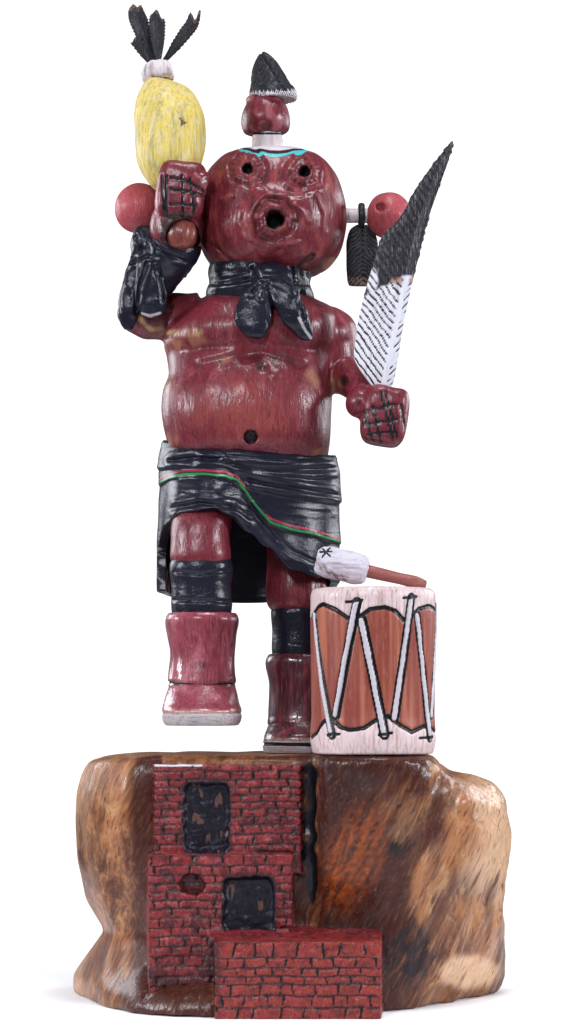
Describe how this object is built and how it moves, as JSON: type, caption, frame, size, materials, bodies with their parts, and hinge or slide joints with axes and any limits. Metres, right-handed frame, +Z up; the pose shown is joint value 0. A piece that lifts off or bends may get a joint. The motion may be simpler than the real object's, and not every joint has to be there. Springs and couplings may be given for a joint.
{
  "type": "kachina doll",
  "caption": "Carved and painted wooden dancer doll with a round ringed mask, rattle and long feather, standing on one foot on a root block with a small brick pueblo.",
  "frame": {"origin": "On the underside of the root block, straight below the standing foot.", "axes": "+Z up; the doll faces -Y; +X is the viewer's right."},
  "size_m": [0.1668, 0.127, 0.3728],
  "materials": {
    "root_wood": "varnished cottonwood root",
    "red_paint": "brick-red paint under varnish",
    "black_paint": "glossy black paint",
    "white_paint": "white paint over pale grain",
    "yellow_paint": "yellow paint with olive streaks"
  },
  "bodies": {
    "root": {"base": "root_wood", "figure": "red_paint", "crown_knob": "red_paint", "crown_feather": "black_paint", "right_ear_knob": "red_paint", "right_ear_feather": "black_paint", "left_ear_knob": "red_paint", "left_ear_feather": "black_paint", "gourd_rattle": "yellow_paint", "rattle_collar": "white_paint", "rattle_feather_1": "black_paint", "rattle_feather_2": "black_paint", "rattle_feather_3": "black_paint", "rattle_feather_4": "black_paint", "hand_feather": "black_paint", "drum": "white_paint", "drumstick": "white_paint"}
  },
  "joints": []
}
